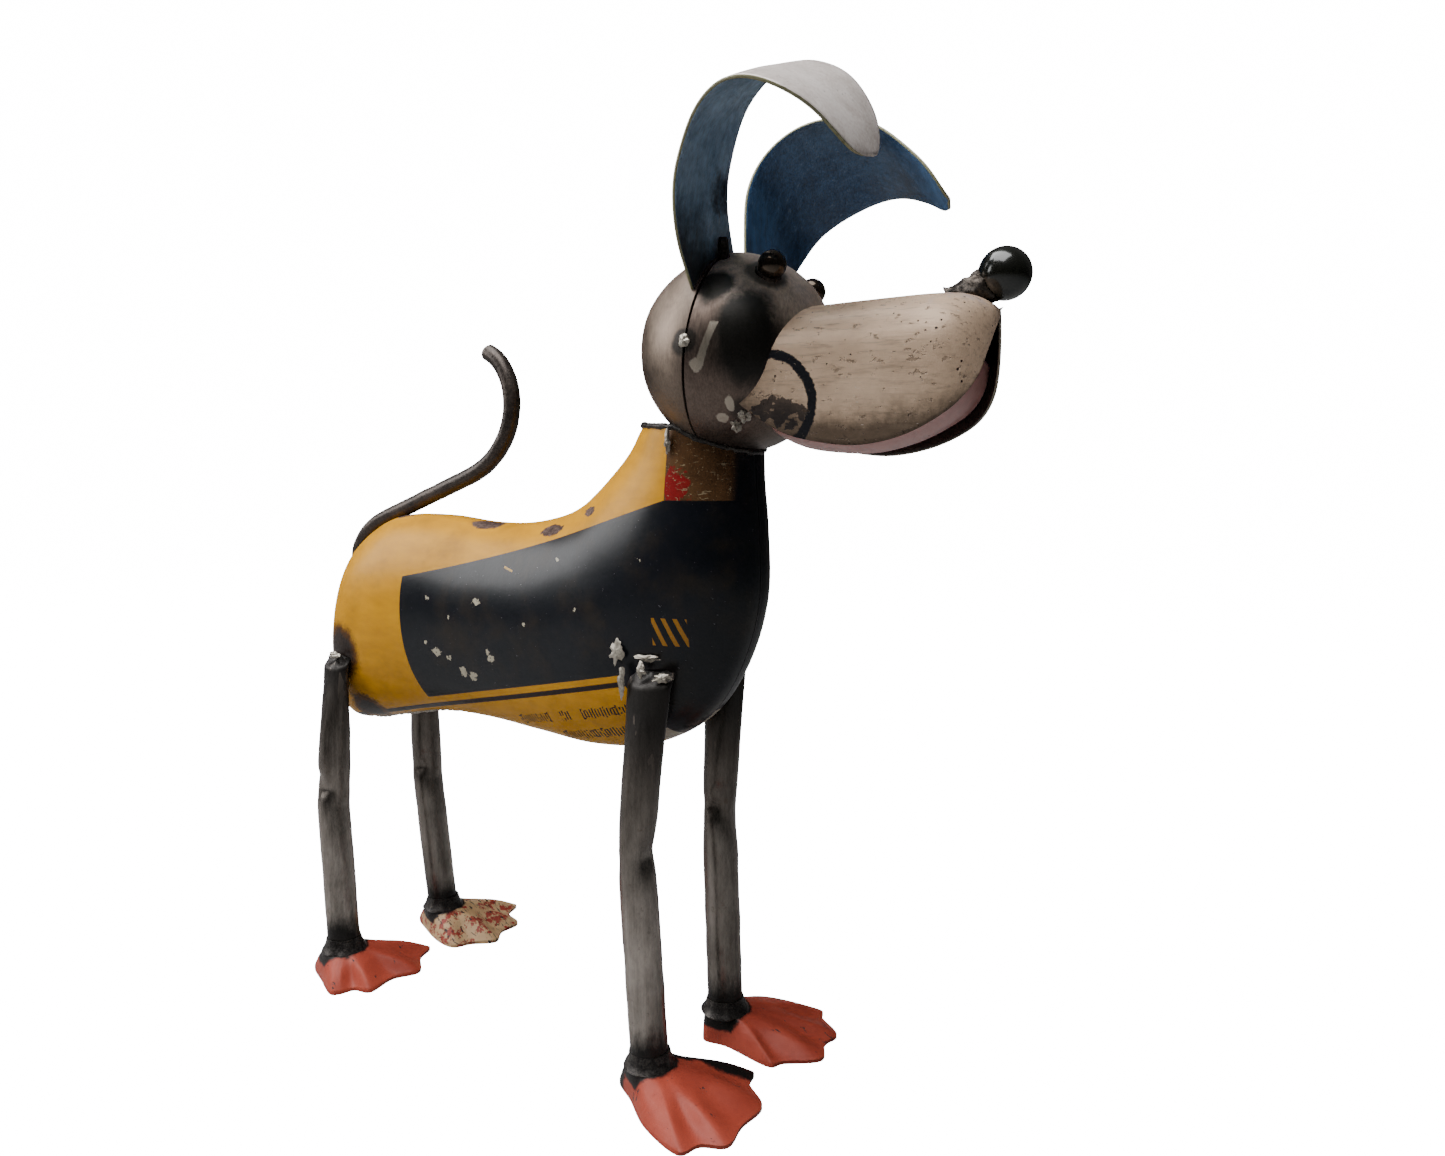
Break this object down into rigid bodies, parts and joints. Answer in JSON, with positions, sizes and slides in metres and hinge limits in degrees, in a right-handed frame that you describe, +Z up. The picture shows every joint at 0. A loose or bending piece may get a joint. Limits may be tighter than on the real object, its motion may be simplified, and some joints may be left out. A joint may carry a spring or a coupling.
{
  "type": "metal dog statue",
  "caption": "Standing dog welded from pressed painted sheet halves, tube legs with cut paws, a ball head with an open snout, curled sheet ears and a swept-up rod tail.",
  "frame": {"origin": "on the floor, under the middle of the whole figure's box", "axes": "+Z up, +X the way the dog stands facing, +Y its left side"},
  "size_m": [0.3176, 0.1274, 0.3543],
  "materials": {
    "yellow_paint": "worn gloss",
    "black_paint": "worn gloss",
    "pale_steel": "brushed",
    "dark_steel": "heat-darkened",
    "taupe_paint": "worn gloss",
    "pink_paint": "worn gloss",
    "blue_paint": "worn gloss",
    "red_paint": "satin",
    "cream_paint": "worn",
    "leg_steel": "brushed",
    "black_ball": "gloss"
  },
  "bodies": {
    "root": {"body_right_half": "black_paint", "body_left_half": "yellow_paint", "head_back_half": "pale_steel", "head_front_half": "dark_steel", "snout": "taupe_paint", "lower_jaw": "pink_paint", "nose": "black_ball", "right_eye": "dark_steel", "left_eye": "dark_steel", "right_ear": "blue_paint", "left_ear": "blue_paint", "tail": "dark_steel", "front_right_leg": "leg_steel", "front_left_leg": "leg_steel", "hind_right_leg": "leg_steel", "hind_left_leg": "leg_steel", "front_right_paw": "red_paint", "front_left_paw": "red_paint", "hind_right_paw": "red_paint", "hind_left_paw": "cream_paint"}
  },
  "joints": []
}
